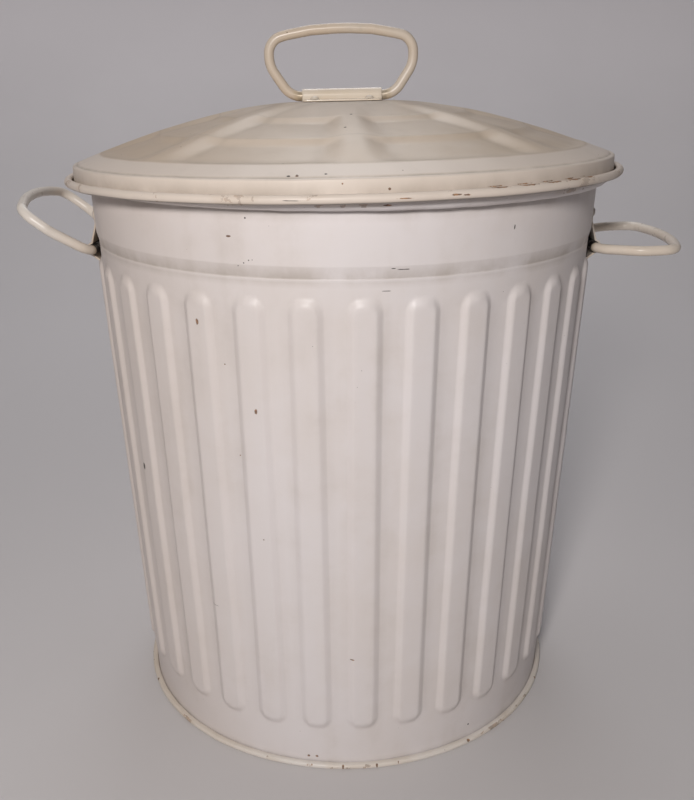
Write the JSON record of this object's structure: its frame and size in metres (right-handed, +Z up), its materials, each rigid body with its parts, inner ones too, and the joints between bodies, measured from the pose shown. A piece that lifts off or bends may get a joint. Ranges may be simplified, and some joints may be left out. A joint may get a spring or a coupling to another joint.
{
  "type": "lidded metal trash can",
  "caption": "Tapered sheet-steel trash can with raised vertical ribs, a lift-off domed lid, and swinging wire loop handles on the lid and both sides.",
  "frame": {"origin": "centre of the flat underside, on the can's axis", "axes": "+Z up along the can's axis, front towards -Y, side handles towards +X and -X"},
  "size_m": [0.3807, 0.3157, 0.3992],
  "materials": {
    "body_paint": "aged satin off-white paint",
    "lid_paint": "aged satin cream paint",
    "handle_paint": "gloss cream paint",
    "bare_steel": "plain steel wire"
  },
  "bodies": {
    "can": {"body_shell": "body_paint", "rim_wire": "bare_steel", "base_pan": "body_paint", "left_handle_clip": "body_paint", "right_handle_clip": "body_paint", "left_clip_rivet_1": "body_paint", "left_clip_rivet_2": "body_paint", "left_clip_rivet_3": "body_paint", "left_clip_rivet_4": "body_paint", "right_clip_rivet_1": "body_paint", "right_clip_rivet_2": "body_paint", "right_clip_rivet_3": "body_paint", "right_clip_rivet_4": "body_paint"},
    "lid": {"lid_shell": "lid_paint", "lid_handle_clip": "lid_paint", "lid_clip_rivet_1": "lid_paint", "lid_clip_rivet_2": "lid_paint", "lid_clip_rivet_3": "lid_paint", "lid_clip_rivet_4": "lid_paint"},
    "lid_loop": {"lid_handle": "handle_paint"},
    "left_loop": {"left_handle": "handle_paint"},
    "right_loop": {"right_handle": "handle_paint"}
  },
  "joints": [
    {"name": "lid_lift", "type": "slide", "parent": "can", "child": "lid", "axis": [0, 0, 1], "range_m": [0, 0.15]},
    {"name": "lid_handle_swing", "type": "hinge", "parent": "lid", "child": "lid_loop", "pos_m": [-0.00051, 0.00073, 0.36069], "axis": [0.9999, 0.0002, 0.015], "range_deg": [-88, 88]},
    {"name": "left_handle_swing", "type": "hinge", "parent": "can", "child": "left_loop", "pos_m": [-0.14497, 0, 0.2775], "axis": [0, 1, 0], "range_deg": [-125, 23]},
    {"name": "right_handle_swing", "type": "hinge", "parent": "can", "child": "right_loop", "pos_m": [0.14497, 0, 0.2775], "axis": [0, -1, 0], "range_deg": [-90, 58]}
  ]
}
